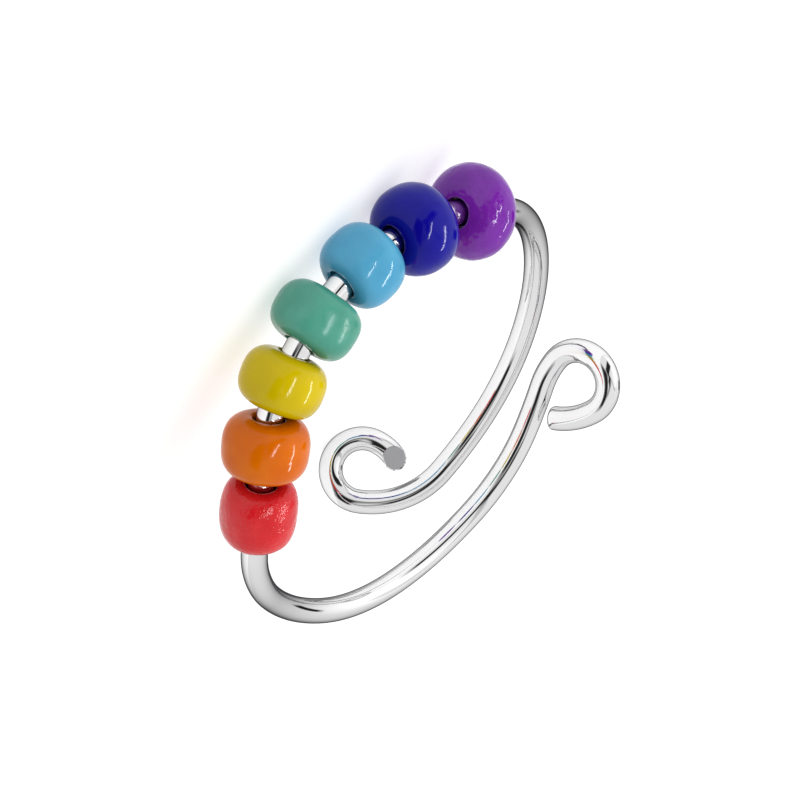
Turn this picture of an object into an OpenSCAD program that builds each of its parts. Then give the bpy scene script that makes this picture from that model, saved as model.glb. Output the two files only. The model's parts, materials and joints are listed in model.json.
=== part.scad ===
// Open ring of one round wire with seven glass beads threaded on its front
// and a flat scroll curled at each free end, where the two ends pass each
// other at the back. Millimetres. The ring lies on its side, as it rests.

/* [Wire] */
// inner diameter of the band, the finger size
inner_diameter = 18; // [15:0.5:22]
// thickness of the round wire
wire_diameter = 1.1; // [0.9:0.1:1.3]
// rise of the wire over one full turn, as a share of the mean radius
turn_rise = 0.25; // [0.22:0.01:0.35]
// bend radius of the scroll at each free end
curl_radius = 1.45; // [1.3:0.05:1.8]
// slant of the cut at the tip of the lower scroll, 0 for a square cut
tip_slant = 45; // [0:5:50]

/* [Beads] */
// diameter of a bead of middle size
bead_diameter = 3.5; // [3:0.1:3.9]
// length along the wire of a bead of middle size
bead_length = 2.5; // [2.2:0.1:2.6]
// free gap all round between the wire and the hole of a bead
hole_gap = 0.16; // [0.15:0.01:0.25]

/* [Resting] */
// how far the ring leans, held up at the back by the lower scroll
lean = 12; // [6:0.1:18]
// place round the ring that is held up highest
lean_place = 140.5; // [120:0.5:160]

/* [Hidden] */

R = (inner_diameter + wire_diameter) / 2;
wire_r = wire_diameter / 2;
hole_r = wire_r + hole_gap;
// the middle of the row of beads faces -Y
turn = -70;

// Course of the band, one row for each place: angle round the ring, radius
// as a share of R, and how far the wire strays from an even rise, over R
ANGLE = 0;
SHARE = 1;
STRAY = 2;
course = [
  [-200, 1.000, -0.010], [-170, 1.010, 0.005], [-140, 1.010, 0.010],
  [-110, 1.010, 0.015], [-80, 0.970, 0.035], [-55, 0.995, 0.005],
  [-30, 1.010, -0.035], [0, 1.005, -0.025], [30, 0.980, 0.035],
  [55, 1.005, 0.010], [80, 1.000, -0.015], [110, 1.000, 0.000],
  [140, 1.000, 0.000], [170, 1.005, 0.000], [195, 1.005, -0.045]
];
// Bends of the two scrolls: radius over curl_radius, and angle of each bend
upper_bends = [[2.9, 20], [1, 200], [2.5, 34]];
lower_bends = [[2.9, 58], [1, 198], [1.5, 30]];
// slant of each scroll's flat face from the way to the ring's centre
upper_slant = 95;
lower_slant = 64;

// Beads, counted along the wire from the green one: place in bead_length,
// diameter over bead_diameter, length over bead_length, and roundness of the
// outline, 1 for a full round
STEPS = 0;
WIDE = 1;
LONG = 2;
ROUND = 3;
beads = [
  [3.345, 0.87, 1.18, 0.65], [2.155, 0.98, 0.94, 0.9], [1.075, 0.96, 0.90, 0.8],
  [0, 1.00, 0.92, 0.7], [-1.135, 0.94, 1.00, 0.8], [-2.275, 1.06, 0.92, 0.85],
  [-3.735, 1.145, 0.96, 1]
];
// angle round the ring of the green bead
green_place = -18;

function unit(v) = v / norm(v);
function polar(a, r, h) = [r * cos(a), r * sin(a), h];
function rise(row) = turn_rise * row[ANGLE] / 360 + row[STRAY];
pts = [for (q = course) polar(q[ANGLE], q[SHARE] * R, rise(q) * R)];
last = len(course) - 1;
// direction of the wire at a row, from the rows on both sides of it
function per_turn(i, up) = let(a = course[max(i - 1, 0)], b = course[min(i + 1, last)])
  (up ? rise(b) - rise(a) : b[SHARE] - a[SHARE]) / (b[ANGLE] - a[ANGLE]) * 180 / PI;
dirs = [for (i = [0:last]) let(a = course[i][ANGLE], r = course[i][SHARE],
  dr = per_turn(i, false), dh = per_turn(i, true))
  unit([dr * cos(a) - r * sin(a), dr * sin(a) + r * cos(a), dh])];

// An arc is [start, direction, side it bends to, radius, angle]
function along(a, f) = a[0] + a[3] * (sin(f) * a[1] + (1 - cos(f)) * a[2]);
function heading(a, f) = cos(f) * a[1] + sin(f) * a[2];
function arc_end(a) = along(a, a[4]);
function arc_to(p, t, q) = let(c = q - p, n = unit(c - (c * t) * t),
  f = acos(c * t / norm(c))) [p, t, n, norm(c) / (2 * sin(f)), 2 * f];
// two arcs join each row to the next with no kink, meeting at a knee
function leg(v, s, k) = (-v * s + sqrt((v * s) * (v * s) + k * (v * v))) / k;
function knee(p, t, q, u) = let(d = leg(q - p, t + u, 2 * (1 - t * u))) (p + q + d * (t - u)) / 2;
band_arcs = [for (i = [0:last - 1])
  let(one = arc_to(pts[i], dirs[i], knee(pts[i], dirs[i], pts[i + 1], dirs[i + 1])),
    two = arc_to(arc_end(one), heading(one, one[4]), pts[i + 1]))
  each [one, two]];
// a scroll goes on from an end of the band, bend by bend
function bends(p, t, n, rows, i = 0) = i == len(rows) ? [] :
  let(a = [p, t, n, rows[i][0] * curl_radius, rows[i][1]])
  concat([a], bends(arc_end(a), heading(a, a[4]), cos(a[4]) * a[2] - sin(a[4]) * a[1], rows, i + 1));
function scroll(p, t, slant, rows) = let(c = [-p[0], -p[1], 0], n = unit(c - (c * t) * t))
  bends(p, t, cos(slant) * n + sin(slant) * cross(t, n), rows);
upper_arcs = scroll(pts[last], dirs[last], upper_slant, upper_bends);
lower_arcs = scroll(pts[0], -dirs[0], lower_slant, lower_bends);
wire_arcs = concat(band_arcs, upper_arcs, lower_arcs);

// A bead's seat on the wire is [centre, direction, side]; it hangs inward by
// half of the wire's bow inside the bead, so the gap stays even
function bead_r(b) = b[WIDE] * bead_diameter / 2;
function half(b) = b[LONG] * bead_length / 2;
function fillet(b) = b[ROUND] * half(b);
function place(b) = green_place + b[STEPS] * bead_length / R * 180 / PI;
function row_of(place) = max([for (i = [0:last - 1]) if (course[i][ANGLE] <= place) i]);
function seat(b) = let(i = row_of(place(b)),
  s = 2 * (place(b) - course[i][ANGLE]) / (course[i + 1][ANGLE] - course[i][ANGLE]),
  a = band_arcs[s < 1 ? 2 * i : 2 * i + 1], f = (s < 1 ? s : s - 1) * a[4],
  n = cos(f) * a[2] - sin(f) * a[1])
  [along(a, f) + n * half(b) * half(b) / (4 * a[3]), heading(a, f), n];

// How far the ring reaches in a direction d, from the wire and the beads
function off_axis(t, d) = sqrt(max(0, 1 - (t * d) * (t * d)));
function reach(d) = max(concat(
  [for (a = wire_arcs, k = [0:24]) let(f = a[4] * k / 24)
    along(a, f) * d + wire_r * off_axis(heading(a, f), d)],
  [for (b = beads) let(s = seat(b), c = fillet(b))
    s[0] * d + (bead_r(b) - c) * off_axis(s[1], d) + (half(b) - c) * abs(s[1] * d) + c]));
// the axes of the floor, seen from the ring
hinge = [sin(lean_place), -cos(lean_place), 0];
function from_floor(v) = v * cos(lean) - cross(hinge, v) * sin(lean)
  + hinge * (hinge * v) * (1 - cos(lean));
X = from_floor([cos(turn), -sin(turn), 0]);
Y = from_floor([sin(turn), cos(turn), 0]);
Z = from_floor([0, 0, 1]);
shift = [reach(-X) - reach(X), reach(-Y) - reach(Y), 2 * reach(-Z)] / 2;

// sets the ring down on the floor, centred over the origin
module at_rest() {
  multmatrix([[X[0], X[1], X[2], shift[0]], [Y[0], Y[1], Y[2], shift[1]],
    [Z[0], Z[1], Z[2], shift[2]], [0, 0, 0, 1]])
    children();
}
// turns a piece drawn along local axes u and v, with w across, to a place
module placed(p, u, v) {
  w = cross(u, v);
  multmatrix([[u[0], v[0], w[0], p[0]], [u[1], v[1], w[1], p[1]],
    [u[2], v[2], w[2], p[2]], [0, 0, 0, 1]])
    children();
}
// one bend of the wire; cut_a and cut_b are taken off its two ends
module wire_arc(a, cut_a, cut_b) {
  deg = 180 / PI / a[3];
  placed(a[0], a[1], a[2])
    translate([0, a[3], 0])
      rotate([0, 0, cut_a * deg - 90])
        rotate_extrude(angle = a[4] - (cut_a + cut_b) * deg, $fn = 120)
          translate([a[3], 0])
            circle(r = wire_r, $fn = 24);
}
// a ball a hair wider than the wire fills the small gap between two bends
gap = 0.04;
module knuckle(p) {
  translate(p)
    sphere(r = wire_r * 1.012, $fn = 24);
}
// the last bend of the lower scroll, cut at a slant that faces into the ring
module slanted_tip(a) {
  t = heading(a, a[4]);
  across = cross(a[2], a[1]);
  u = cos(tip_slant) * t + sin(tip_slant) * across;
  difference() {
    wire_arc(a, gap, -wire_r * tan(tip_slant) - 0.1);
    placed(arc_end(a), u, unit(cross(across, t)))
      translate([0, -2, -2] * wire_diameter)
        cube([2, 4, 4] * wire_diameter);
  }
}

module wire_band() {
  color("#c9ccd1")
    at_rest() {
      for (a = band_arcs) {
        wire_arc(a, gap, gap);
        knuckle(a[0]);
      }
      for (k = [0:2]) {
        wire_arc(upper_arcs[k], gap, k < 2 ? gap : 0);
        knuckle(upper_arcs[k][0]);
      }
      for (k = [0:1]) {
        wire_arc(lower_arcs[k], gap, gap);
        knuckle(lower_arcs[k + 1][0]);
      }
      slanted_tip(lower_arcs[2]);
    }
}
module bead(b) {
  s = seat(b);
  c = fillet(b);
  at_rest()
    placed(s[0], s[2], cross(s[1], s[2]))
      rotate_extrude($fn = 96)
        intersection() {
          union() {
            for (y = [-1, 1])
              translate([bead_r(b) - c, y * (half(b) - c)])
                circle(r = c, $fn = 64);
            translate([0, -half(b)])
              square([bead_r(b) - c, 2 * half(b)]);
            if (b[ROUND] < 1)
              translate([0, c - half(b)])
                square([bead_r(b), 2 * (half(b) - c)]);
          }
          translate([hole_r, -half(b)])
            square([bead_r(b), 2 * half(b)]);
        }
}
module bead_red() { color("#d2202e") bead(beads[0]); }
module bead_orange() { color("#d85f08") bead(beads[1]); }
module bead_yellow() { color("#e0ca00") bead(beads[2]); }
module bead_green() { color("#158a5c") bead(beads[3]); }
module bead_light_blue() { color("#55a8cb") bead(beads[4]); }
module bead_dark_blue() { color("#18189a") bead(beads[5]); }
module bead_purple() { color("#77309c") bead(beads[6]); }

wire_band();
bead_red();
bead_orange();
bead_yellow();
bead_green();
bead_light_blue();
bead_dark_blue();
bead_purple();
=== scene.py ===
import json
import math

import bpy
from mathutils import Matrix, Vector


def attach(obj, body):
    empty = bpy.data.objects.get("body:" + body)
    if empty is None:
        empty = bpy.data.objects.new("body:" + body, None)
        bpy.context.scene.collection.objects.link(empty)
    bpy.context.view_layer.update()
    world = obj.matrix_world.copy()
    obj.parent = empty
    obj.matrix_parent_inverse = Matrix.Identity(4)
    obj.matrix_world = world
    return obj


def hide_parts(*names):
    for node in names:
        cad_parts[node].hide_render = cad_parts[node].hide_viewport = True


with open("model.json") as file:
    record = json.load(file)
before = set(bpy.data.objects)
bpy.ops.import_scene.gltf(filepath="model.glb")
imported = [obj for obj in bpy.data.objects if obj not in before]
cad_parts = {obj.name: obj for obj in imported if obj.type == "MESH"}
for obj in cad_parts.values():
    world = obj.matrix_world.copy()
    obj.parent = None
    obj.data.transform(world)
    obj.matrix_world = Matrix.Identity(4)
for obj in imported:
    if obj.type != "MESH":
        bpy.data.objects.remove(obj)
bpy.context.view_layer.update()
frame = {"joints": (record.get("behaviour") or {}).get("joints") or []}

# The band is one length of drawn silver wire, bent round a mandrel a little
# more than once and polished. A round section is swept from bend to bend, and
# each end goes on into a flat scroll that is turned with round-nosed pliers.
wire_radius = 0.00055
mean_radius = 0.00955
curl_radius = 0.00145
rise_per_turn = 0.25
# where the wire runs: angle round the finger, then its radius and its stray from
# an even rise, both as shares of the mean radius
course = [
    (-200, 1.000, -0.010), (-170, 1.010, 0.005), (-140, 1.010, 0.010),
    (-110, 1.010, 0.015), (-80, 0.970, 0.035), (-55, 0.995, 0.005),
    (-30, 1.010, -0.035), (0, 1.005, -0.025), (30, 0.980, 0.035),
    (55, 1.005, 0.010), (80, 1.000, -0.015), (110, 1.000, 0.000),
    (140, 1.000, 0.000), (170, 1.005, 0.000), (195, 1.005, -0.045),
]
# the bends of each scroll, as radius over curl_radius and angle
upper_scroll = [(2.9, 20), (1, 200), (2.5, 31.6)]
lower_scroll = [(2.9, 58), (1, 198), (1.5, 30)]
# the turn of each scroll's flat face from the way to the ring's centre
upper_slant = math.radians(95)
lower_slant = math.radians(64)
# the upper end is filed round, and the lower one cut at a slant
end_rounding = 0.00020
tip_slant = math.radians(45)
tip_bevel = 0.00005
tip_rise = 0.00003
# how finely the wire is modelled
section_points = 48
ring_spacing = 0.00011
fewest_rings = 3
rounding_steps = 6
spare_rings = 7
cut_tolerance = 0.000001
merge_distance = 0.00002
smooth_below = math.radians(30)


def place_and_heading(row):
    """Where the wire passes a row of the course, and the way it heads there."""
    angle, share, stray = course[row]
    angle_before, share_before, stray_before = course[max(row - 1, 0)]
    angle_after, share_after, stray_after = course[min(row + 1, len(course) - 1)]
    turned = math.radians(angle_after - angle_before)
    outward = (share_after - share_before) / turned
    upward = (stray_after - stray_before) / turned + rise_per_turn / math.tau
    cosine, sine = math.cos(math.radians(angle)), math.sin(math.radians(angle))
    height = stray + rise_per_turn * angle / 360
    place = Vector((share * cosine, share * sine, height)) * mean_radius
    heading = Vector((
        outward * cosine - share * sine,
        outward * sine + share * cosine,
        upward,
    ))
    return place, heading.normalized()


def bend_to(start, heading, goal):
    """Side, radius and angle of the one bend that leaves start along heading for goal."""
    way = goal - start
    side = (way - way.dot(heading) * heading).normalized()
    half = way.angle(heading)
    return side, way.length / (2 * math.sin(half)), 2 * half


def sweep(start, heading, side, radius, angle):
    """Sweeps the selected rim round one bend, and gives its end and new heading."""
    bpy.ops.mesh.spin(
        steps=max(fewest_rings, math.ceil(radius * angle / ring_spacing)),
        angle=angle, center=start + side * radius, axis=side.cross(heading),
    )
    turn = Matrix.Rotation(angle, 3, heading.cross(side))
    return start + side * radius - turn @ (side * radius), turn @ heading


def curl(start, heading, slant, bends):
    """Sweeps the selected rim through the bends of a scroll, all in one plane."""
    inward = Vector((-start.x, -start.y, 0))
    inward = (inward - inward.dot(heading) * heading).normalized()
    side = math.cos(slant) * inward + math.sin(slant) * heading.cross(inward)
    for share, angle in bends:
        across = heading.cross(side)
        start, heading = sweep(start, heading, side, share * curl_radius, math.radians(angle))
        side = across.cross(heading)
    return start, heading, side


def lengthen(way):
    """Draws the selected rim out by a vector."""
    bpy.ops.mesh.extrude_region_move(TRANSFORM_OT_translate={"value": way})


def select_points(piece, wanted):
    """Selects, in edit mode, the points of a piece that are wanted."""
    bpy.ops.mesh.select_mode(type="VERT")
    bpy.ops.mesh.select_all(action="DESELECT")
    bpy.ops.object.mode_set(mode="OBJECT")
    for point in piece.data.vertices:
        point.select = wanted(point)
    bpy.ops.object.mode_set(mode="EDIT")


def widest_face(piece):
    """The widest face of the wire, which is the cut at the tip of the lower scroll."""
    return max(piece.data.polygons, key=lambda face: face.area)


bpy.ops.object.select_all(action="DESELECT")
first_place, first_heading = place_and_heading(0)
bpy.ops.mesh.primitive_circle_add(
    vertices=section_points, radius=wire_radius, location=first_place,
    rotation=first_heading.to_track_quat("Z", "Y").to_euler(),
)
band = bpy.context.object
band.name = "silver_band"
bpy.ops.object.transform_apply()
bpy.ops.object.mode_set(mode="EDIT")
bpy.ops.mesh.select_all(action="SELECT")
place, heading = first_place, first_heading
for row in range(1, len(course)):
    # two bends join each row to the next with no kink, meeting at a knee
    goal, goal_heading = place_and_heading(row)
    way, both = goal - place, heading + goal_heading
    spread = 2 * (1 - heading.dot(goal_heading))
    reach = (math.sqrt(way.dot(both) ** 2 + spread * way.dot(way)) - way.dot(both)) / spread
    knee = (place + goal + reach * (heading - goal_heading)) / 2
    place, heading = sweep(place, heading, *bend_to(place, heading, knee))
    place, heading = sweep(place, heading, *bend_to(place, heading, goal))
place, heading, side = curl(place, heading, upper_slant, upper_scroll)
# the tip of the upper scroll is filed round, in steps over a quarter turn
filed = 0
narrowed = 1
for step in range(1, rounding_steps + 1):
    angle = math.radians(90 * step / rounding_steps)
    rise = end_rounding * (math.sin(angle) - math.sin(filed))
    share = 1 - end_rounding / wire_radius * (1 - math.cos(angle))
    place = place + heading * rise
    lengthen(heading * rise)
    bpy.ops.transform.resize(value=[share / narrowed] * 3, center_override=place)
    filed = angle
    narrowed = share
bpy.ops.mesh.edge_face_add()

# the lower scroll sets out from the rim that the wire began with. It is drawn out
# a little past its tip, and cut there at a slant
select_points(band, lambda point: (point.co - first_place).length < 1.005 * wire_radius)
place, heading, side = curl(first_place, -first_heading, lower_slant, lower_scroll)
for ring in range(spare_rings):
    lengthen(heading * ring_spacing)
bpy.ops.mesh.edge_face_add()
select_points(band, lambda point: (point.co - place).length < 2 * wire_radius)
slanted = math.cos(tip_slant) * heading + math.sin(tip_slant) * side.cross(heading)
bpy.ops.mesh.bisect(
    plane_co=place, plane_no=slanted, use_fill=True, clear_outer=True,
    threshold=cut_tolerance,
)
bpy.ops.mesh.remove_doubles(threshold=merge_distance)
bpy.ops.mesh.select_mode(type="FACE")
bpy.ops.mesh.select_all(action="DESELECT")
bpy.ops.object.mode_set(mode="OBJECT")
widest_face(band).select = True
bpy.ops.object.mode_set(mode="EDIT")
bpy.ops.mesh.inset(thickness=tip_bevel, depth=tip_rise)
bpy.ops.mesh.select_all(action="SELECT")
bpy.ops.mesh.normals_make_consistent(inside=False)
bpy.ops.object.mode_set(mode="OBJECT")
bpy.ops.object.shade_smooth_by_angle(angle=smooth_below)

# the ring is set down on its side, held up at the back by the lower scroll
set_down = Vector((0.0000281, 0.0004476, 0.0041327))
row_turn = math.radians(-70)
lean = math.radians(12)
lean_place = math.radians(140.5)
lean_hinge = Vector((math.sin(lean_place), -math.cos(lean_place), 0))
band.matrix_world = (
    Matrix.Translation(set_down)
    @ Matrix.Rotation(row_turn, 4, "Z")
    @ Matrix.Rotation(lean, 4, lean_hinge)
)
bpy.ops.object.transform_apply()


class Shade:
    """A value in a material. Arithmetic adds Math nodes, and node() adds any other."""

    def __init__(self, tree, socket=None):
        self.tree = tree
        self.socket = socket

    def node(self, kind, settings, inputs, output=0):
        new = self.tree.nodes.new("ShaderNode" + kind)
        for name, value in settings.items():
            setattr(new, name, value)
        for name, value in inputs.items():
            if isinstance(value, Shade):
                self.tree.links.new(value.socket, new.inputs[name])
            else:
                new.inputs[name].default_value = value
        return Shade(self.tree, new.outputs[output])

    def maths(self, operation, a, b):
        return self.node("Math", {"operation": operation}, {0: a, 1: b})

    def __add__(self, other):
        return self.maths("ADD", self, other)

    __radd__ = __add__

    def __sub__(self, other):
        return self.maths("SUBTRACT", self, other)

    def __rsub__(self, other):
        return self.maths("SUBTRACT", other, self)

    def __mul__(self, other):
        return self.maths("MULTIPLY", self, other)

    __rmul__ = __mul__

    def __abs__(self):
        return self.maths("ABSOLUTE", self, 0)

    def at_least(self, low):
        """This value, or low where it is less."""
        return self.maths("MAXIMUM", self, low)

    def along(self, direction):
        """How far this vector goes in a direction."""
        return self.node("VectorMath", {"operation": "DOT_PRODUCT"}, {0: self, 1: direction}, "Value")

    def noise(self, scale, detail=2.0):
        """Cloudy noise from 0 to 1 over the piece, with scale clouds to the metre."""
        return self.node("TexNoise", {}, {"Vector": self, "Scale": scale, "Detail": detail})

    def between(self, low, high, a, b):
        """This value spread from low..high to a..b, held at both ends."""
        return self.node("MapRange", {}, {0: self, 1: low, 2: high, 3: a, 4: b})

    def mix(self, a, b):
        """Colour a where this value is 0, b where it is 1; sockets 6, 7 and 2 are colours."""
        return self.node("Mix", {"data_type": "RGBA"}, {0: self, 6: (*a, 1), 7: (*b, 1)}, 2)

    def bump(self, height):
        """The surface's normal, with this value as relief, height metres deep."""
        return self.node("Bump", {}, {"Distance": height, "Height": self})


def socket_name(word):
    """What the shader calls a socket: Base Color for base_color."""
    return word.replace("_", " ").title().replace("Ior", "IOR")


def finish_of(piece, name, **constants):
    """Gives a piece a new material, and returns its shader and its Object coordinates."""
    material = bpy.data.materials.new(name)
    material.use_nodes = True
    piece.data.materials.append(material)
    shader = material.node_tree.nodes["Principled BSDF"]
    for word, value in constants.items():
        shader.inputs[socket_name(word)].default_value = value
    return shader, Shade(material.node_tree).node("TexCoord", {}, {}, "Object")


def feed(shader, **values):
    """Links what varies over the surface to the shader's sockets."""
    for word, value in values.items():
        value.tree.links.new(value.socket, shader.inputs[socket_name(word)])


# polished silver: faint hairlines left by the cloth, and a trace of waviness. Its near-black specular
# tint darkens the reflection where the wire is seen edge-on, a painted dark outline along its edges
silver, spot = finish_of(
    band, "polished_silver", metallic=1.0, specular_tint=(0.03, 0.03, 0.035, 1),
)
hairlines = spot.node("TexNoise", {}, {
    "Vector": spot.node("Mapping", {}, {"Vector": spot, "Scale": (1.0, 1.0, 9.0)}),
    "Scale": 2600.0, "Detail": 3.0,
})
tarnish = spot.noise(420.0).between(0.3, 0.8, 0, 1)
feed(
    silver,
    base_color=tarnish.mix((0.83, 0.828, 0.832), (0.78, 0.778, 0.785)),
    roughness=hairlines.between(0.35, 0.75, 0.04, 0.07),
    normal=(spot.noise(700.0) + 0.1 * hairlines).bump(0.0000012),
)
# the cut at the tip of the lower scroll is left dull, as the cutters leave it
cut, spot = finish_of(band, "cut_silver", metallic=1.0)
grain = spot.noise(6000.0, 3.0)
feed(
    cut,
    base_color=grain.mix((0.50, 0.50, 0.515), (0.59, 0.59, 0.605)),
    roughness=grain.between(0.3, 0.7, 0.55, 0.65),
    normal=grain.bump(0.000004),
)
widest_face(band).material_index = 1
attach(band, "wire")
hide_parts("wire_band")

# Red bead: the longest of the row, a barrel of opaque glass with a satin,
# slightly lumpy skin. Each bead is a rounded section turned about its hole, as
# glass is wound on a rod, and sits on the wire where its hinge is.
hole_radius = 0.00063
rim_rounding = 0.00010
# how far out from the hole the lumps reach their full height
skin_depth = 0.0006
outline_segments = 18
rim_segments = 6
turning_steps = 96
seam_distance = 0.000002


def wound_bead(body, width, length, fullness, shift, lump_size, lump_height, roll):
    """A bead of wound glass on its hinge, moved along its hole by shift and then rolled.

    Its section is an oval at fullness 2, and squarer above that.
    """
    bpy.ops.object.select_all(action="DESELECT")
    bpy.ops.mesh.primitive_plane_add(size=2, rotation=(math.pi / 2, 0, 0))
    bead = bpy.context.object
    bead.name = "glass_" + body
    bpy.ops.object.transform_apply()
    bpy.ops.object.mode_set(mode="EDIT")
    # the outer corners are rounded until they all but meet, and the inner ones a little
    select_points(bead, lambda point: point.co.x > 0)
    bpy.ops.mesh.bevel(
        offset=0.9999, segments=outline_segments, profile=2 ** (-2 / fullness),
        affect="VERTICES",
    )
    select_points(bead, lambda point: point.co.x < -0.5)
    crown = hole_radius + rim_rounding
    belly = width / 2 - crown
    bpy.ops.transform.resize(
        value=(rim_rounding / belly, 1, 1), center_override=(0, 0, 0),
    )
    bpy.ops.mesh.select_all(action="SELECT")
    bpy.ops.transform.resize(value=(belly, 1, length / 2), center_override=(0, 0, 0))
    bpy.ops.transform.translate(value=(crown, 0, shift))
    select_points(bead, lambda point: point.co.x < crown - 0.5 * rim_rounding)
    bpy.ops.mesh.bevel(
        offset=0.99 * rim_rounding, segments=rim_segments, affect="VERTICES",
    )
    bpy.ops.mesh.select_all(action="SELECT")
    bpy.ops.mesh.delete(type="ONLY_FACE")
    bpy.ops.mesh.select_all(action="SELECT")
    bpy.ops.mesh.spin(
        steps=turning_steps, angle=math.tau, center=(0, 0, 0), axis=(0, 0, 1),
    )
    bpy.ops.mesh.select_all(action="SELECT")
    bpy.ops.mesh.remove_doubles(threshold=seam_distance)
    bpy.ops.mesh.normals_make_consistent(inside=False)
    bpy.ops.object.mode_set(mode="OBJECT")
    bpy.ops.object.shade_smooth()
    # the skin is a little lumpy, and the hole stays true
    skin = bead.vertex_groups.new(name="skin")
    for point in bead.data.vertices:
        depth = math.hypot(*point.co.xy) - hole_radius
        skin.add([point.index], min(1, depth / skin_depth), "REPLACE")
    lumps = bpy.data.textures.new("lumps", "CLOUDS")
    lumps.noise_scale = lump_size
    swell = bead.modifiers.new("swell", "DISPLACE")
    swell.texture = lumps
    swell.strength = lump_height
    swell.vertex_group = "skin"
    bpy.ops.object.modifier_apply(modifier=swell.name)
    hinge = next(joint for joint in frame["joints"] if joint["child"] == body)
    bead.matrix_world = (
        Matrix.Translation(hinge["pos_m"])
        @ Vector(hinge["axis"]).to_track_quat("Z", "Y").to_matrix().to_4x4()
        @ Matrix.Rotation(math.radians(roll), 4, "Z")
    )
    bpy.ops.object.transform_apply()
    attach(bead, body)
    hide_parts("bead_" + body.removesuffix("_bead"))
    return bead


def cloudy(clouds, deep, pale):
    """A colour that drifts from deep to pale glass, as the clouds go from 0.3 to 0.7."""
    return clouds.between(0.3, 0.7, 0, 1).mix(deep, pale)


red = wound_bead(
    "red_bead", width=0.00308, length=0.00283, fullness=2.6, shift=-0.00008,
    lump_size=0.0014, lump_height=0.00007, roll=0,
)
shader, spot = finish_of(red, "satin_red_glass", roughness=0.16, specular_ior_level=0.34)
feed(
    shader,
    base_color=cloudy(spot.noise(700.0, 3.0), (0.452, 0.002, 0.006), (0.537, 0.012, 0.016)),
    normal=(0.5 * spot.noise(1300.0) + 0.23 * spot.noise(8000.0, 2.0)).bump(0.00011),
)

# Orange bead: opaque orange glass, wound on a rod and melted smooth, so that it
# is glossy with a trace of ripple. It is threaded on the wire beside the red one.


def melted_smooth(bead, name, ripples, deep, pale):
    """The glossy skin of a bead that is melted smooth, with ripples to the metre."""
    shader, spot = finish_of(bead, name, roughness=0.1, specular_ior_level=0.19)
    feed(
        shader,
        base_color=cloudy(spot.noise(600.0, 3.0), deep, pale),
        normal=(spot.noise(ripples) + 0.3 * spot.noise(5000.0)).bump(0.000012),
    )


orange = wound_bead(
    "orange_bead", width=0.00345, length=0.00244, fullness=2.6, shift=0,
    lump_size=0.0017, lump_height=0.00005, roll=70,
)
melted_smooth(orange, "orange_glass", 1300.0, (0.479, 0.088, 0.000), (0.554, 0.126, 0.000))

# Yellow bead: opaque yellow glass, squatter than the orange bead and as glossy.
# It is threaded on the wire between the orange bead and the green one.
yellow = wound_bead(
    "yellow_bead", width=0.00341, length=0.00229, fullness=2.4, shift=0,
    lump_size=0.0019, lump_height=0.00005, roll=150,
)
melted_smooth(yellow, "yellow_glass", 1300.0, (0.421, 0.310, 0.000), (0.499, 0.378, 0.000))

# Green bead: the middle of the row, of milky glass with a satin skin that spreads
# the light. It is wound a little less evenly than the rest, and threaded alike.
green = wound_bead(
    "green_bead", width=0.00354, length=0.00230, fullness=2.5, shift=0,
    lump_size=0.0016, lump_height=0.00010, roll=220,
)
shader, spot = finish_of(green, "satin_green_glass", roughness=0.23, specular_ior_level=0.32)
feed(
    shader,
    base_color=cloudy(spot.noise(900.0, 4.0), (0.041, 0.216, 0.151), (0.066, 0.282, 0.206)),
    normal=spot.noise(1500.0).bump(0.00003),
)

# Light blue bead: opaque glass, wound on a rod and melted smooth and glossy. It is
# threaded on the wire after the green bead.
light_blue = wound_bead(
    "light_blue_bead", width=0.00333, length=0.00242, fullness=2.4, shift=-0.00002,
    lump_size=0.0018, lump_height=0.00005, roll=40,
)
melted_smooth(
    light_blue, "light_blue_glass", 1300.0, (0.055, 0.252, 0.412), (0.076, 0.311, 0.479),
)

# Dark blue bead: opaque glass, melted smooth and glossy, wider than the light blue
# bead beside it, so that its drilled end shows past that one.
dark_blue = wound_bead(
    "dark_blue_bead", width=0.00375, length=0.00252, fullness=2.2, shift=-0.00003,
    lump_size=0.0017, lump_height=0.00006, roll=110,
)
melted_smooth(
    dark_blue, "dark_blue_glass", 1400.0, (0.002, 0.001, 0.185), (0.005, 0.004, 0.235),
)

# Purple bead: the widest of the row and a full round, of glossy glass whose skin is
# all small dimples. It is threaded last, a little apart from the dark blue one.
purple = wound_bead(
    "purple_bead", width=0.00398, length=0.00234, fullness=1.95, shift=0.00003,
    lump_size=0.0015, lump_height=0.00008, roll=200,
)
shader, spot = finish_of(purple, "dimpled_purple_glass", roughness=0.12, specular_ior_level=0.38)
feed(
    shader,
    base_color=cloudy(spot.noise(700.0, 3.0), (0.119, 0.008, 0.246), (0.162, 0.015, 0.315)),
    normal=(spot.noise(1300.0) + 0.6 * spot.noise(3400.0, 1.0)).bump(0.00005),
)

# The ring lies on a plain table of lit white acrylic, in a white tent whose dark
# seams show as lines in the polished wire. Two long strip lights over it put the
# streaks on the beads, and are flagged off the wire and the table.
bpy.ops.object.select_all(action="DESELECT")
bpy.ops.mesh.primitive_plane_add(size=3.0)
table = bpy.context.object
table.name = "white_table"
acrylic, spot = finish_of(
    table, "lit_white_acrylic", roughness=0.7, emission_color=(1, 1, 1, 1),
    emission_strength=0.60,
)
feed(acrylic, base_color=spot.noise(900.0).mix((0.63, 0.63, 0.63), (0.65, 0.65, 0.65)))

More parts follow.
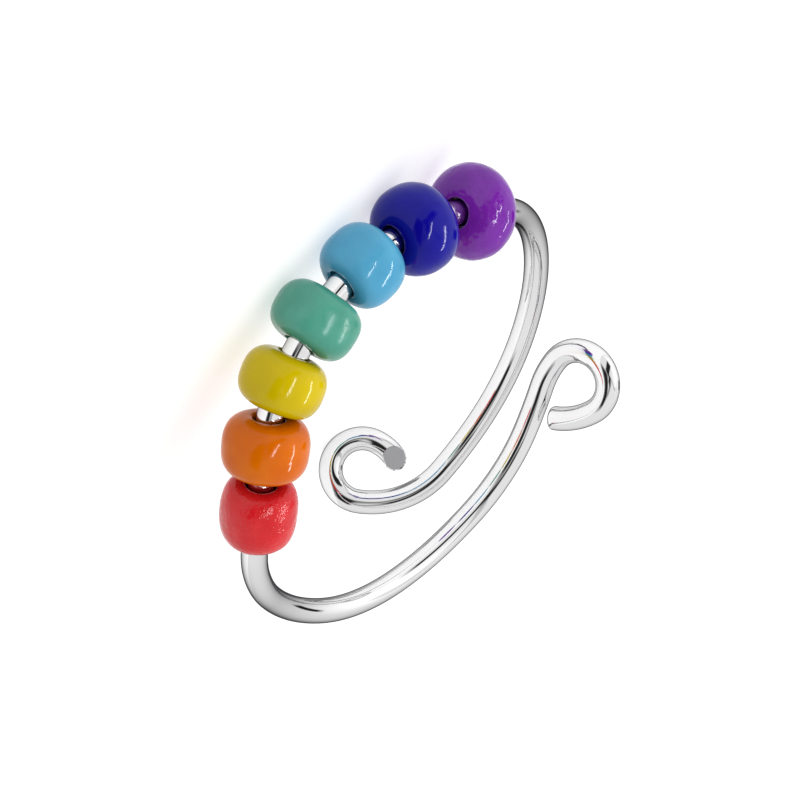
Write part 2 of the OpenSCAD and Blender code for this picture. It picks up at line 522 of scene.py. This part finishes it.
flagged = bpy.data.collections.new("flagged_off")
flagged.objects.link(band)
flagged.objects.link(table)
for member in flagged.collection_objects:
    member.light_linking.link_state = "EXCLUDE"
strip_length = 1.26
strip_width = 0.09
strip_power = 10.5
strip_distance = 1.5
ring_middle = Vector((0, 0, 0.004))
for name, towards, lengthwise in (
    ("front_strip", (-0.062, -0.667, 0.743), (-0.969, -0.139, -0.204)),
    ("top_strip", (-0.340, 0.128, 0.932), (-0.888, -0.372, -0.273)),
):
    bpy.ops.object.light_add(type="AREA")
    strip = bpy.context.object
    strip.name = name
    strip.data.shape = "RECTANGLE"
    strip.data.size = strip_length
    strip.data.size_y = strip_width
    strip.data.energy = strip_power
    strip.light_linking.receiver_collection = flagged
    back = Vector(towards).normalized()
    side = Vector(lengthwise)
    side = (side - side.dot(back) * back).normalized()
    facing = Matrix((side, back.cross(side), back)).transposed()
    strip.matrix_world = Matrix.Translation(ring_middle + back * strip_distance) @ facing.to_4x4()

cloth_white = 0.93
# the least that a seam leaves of the cloth's white
darkest = 0.02
tent = bpy.data.worlds.new("white_tent")
bpy.context.scene.world = tent
tent.use_nodes = True
sight = Shade(tent.node_tree).node("TexCoord", {}, {}, "Generated")


def seam(azimuth, elevation, tilt, half_length, half_width, blur):
    """1 inside a dark strip of the tent, as seen from the ring, and 0 outside. In degrees."""
    azimuth, elevation, tilt = map(math.radians, (azimuth, elevation, tilt))
    facing = Vector((
        math.sin(azimuth) * math.cos(elevation),
        -math.cos(azimuth) * math.cos(elevation),
        math.sin(elevation),
    ))
    level = Vector((math.cos(azimuth), math.sin(azimuth), 0))
    long_way = math.cos(tilt) * level + math.sin(tilt) * facing.cross(level)
    # the far side of the tent, where the strip would show once more, is left out
    inside = sight.along(facing).between(0, 0.05, 0, 1)
    for across, half in ((long_way, half_length), (facing.cross(long_way), half_width)):
        edge = math.sin(math.radians(half))
        within = abs(sight.along(across)).between(edge * (1 - blur), edge * (1 + blur), 1, 0)
        inside = inside * within
    return inside


# the last one is no seam but a thinner stretch of the cloth, where more light comes in
dark = (
    1.1 * seam(-33, 24.5, 4, 29, 7, 0.2)
    + seam(2, 36, 0, 12, 6, 0.3)
    + 0.6 * seam(24, 39, -22, 22, 5, 0.4)
    + 0.65 * seam(31, 13, 0, 29, 15, 0.2)
    + 0.6 * seam(36, 15, 4, 26, 9, 0.25)
    + 1.1 * seam(-138.3, 31.5, 53.2, 9.5, 5.5, 0.25)
    + 0.4 * seam(-20, 55, -67, 16, 3, 0.4)
    + 0.4 * seam(-112, 58, -54, 13, 4, 0.4)
    + 0.4 * seam(-60, 72, -10, 10, 3, 0.4)
    - 0.4 * seam(-90, 35, 90, 32, 26, 0.4)
)
shade = cloth_white * (1 - dark).at_least(darkest)
glow = tent.node_tree.nodes["Background"]
tent.node_tree.links.new(shade.socket, glow.inputs["Color"])
glow.inputs["Strength"].default_value = 1.0

# The camera looks at the ring from the photograph's angle, rolled as it was held,
# from a place above the table.
camera_place = Vector((0.01011, -0.09279, 0.03083))
camera_turn = [math.radians(angle) for angle in (-65.356, -48.268, 167.419)]
bpy.ops.object.camera_add(location=camera_place, rotation=camera_turn)
camera = bpy.context.object
camera.name = "photo_camera"
camera.data.lens = 104.77
camera.data.sensor_width = 36
camera.data.clip_start = 0.002
bpy.context.scene.camera = camera
bpy.context.scene.view_settings.view_transform = "Standard"
